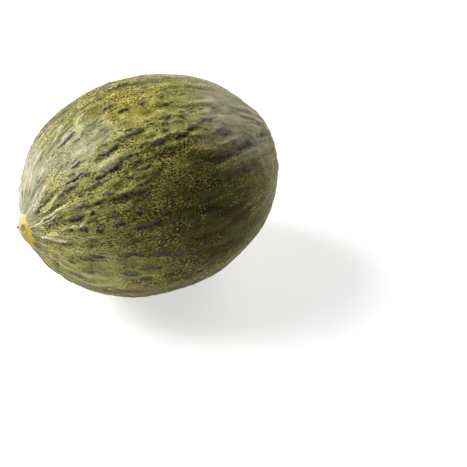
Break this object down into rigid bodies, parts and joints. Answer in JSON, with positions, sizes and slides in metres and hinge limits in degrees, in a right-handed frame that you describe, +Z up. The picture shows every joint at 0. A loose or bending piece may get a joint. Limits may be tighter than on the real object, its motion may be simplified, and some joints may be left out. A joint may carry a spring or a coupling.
{
  "type": "santa claus melon",
  "caption": "Whole oval melon lying on its side: mottled olive-green rind with dark streaks, corky lines fanning from a yellow stem scar, and shallow lengthwise ribs.",
  "frame": {"origin": "on the surface the fruit lies on, below the middle of its bounding box", "axes": "+X along the fruit from its stem scar towards its blossom scar, +Z up, +Y across the fruit"},
  "size_m": [0.2008, 0.1582, 0.1578],
  "materials": {
    "rind": null
  },
  "bodies": {
    "root": {"melon": "rind"}
  },
  "joints": []
}
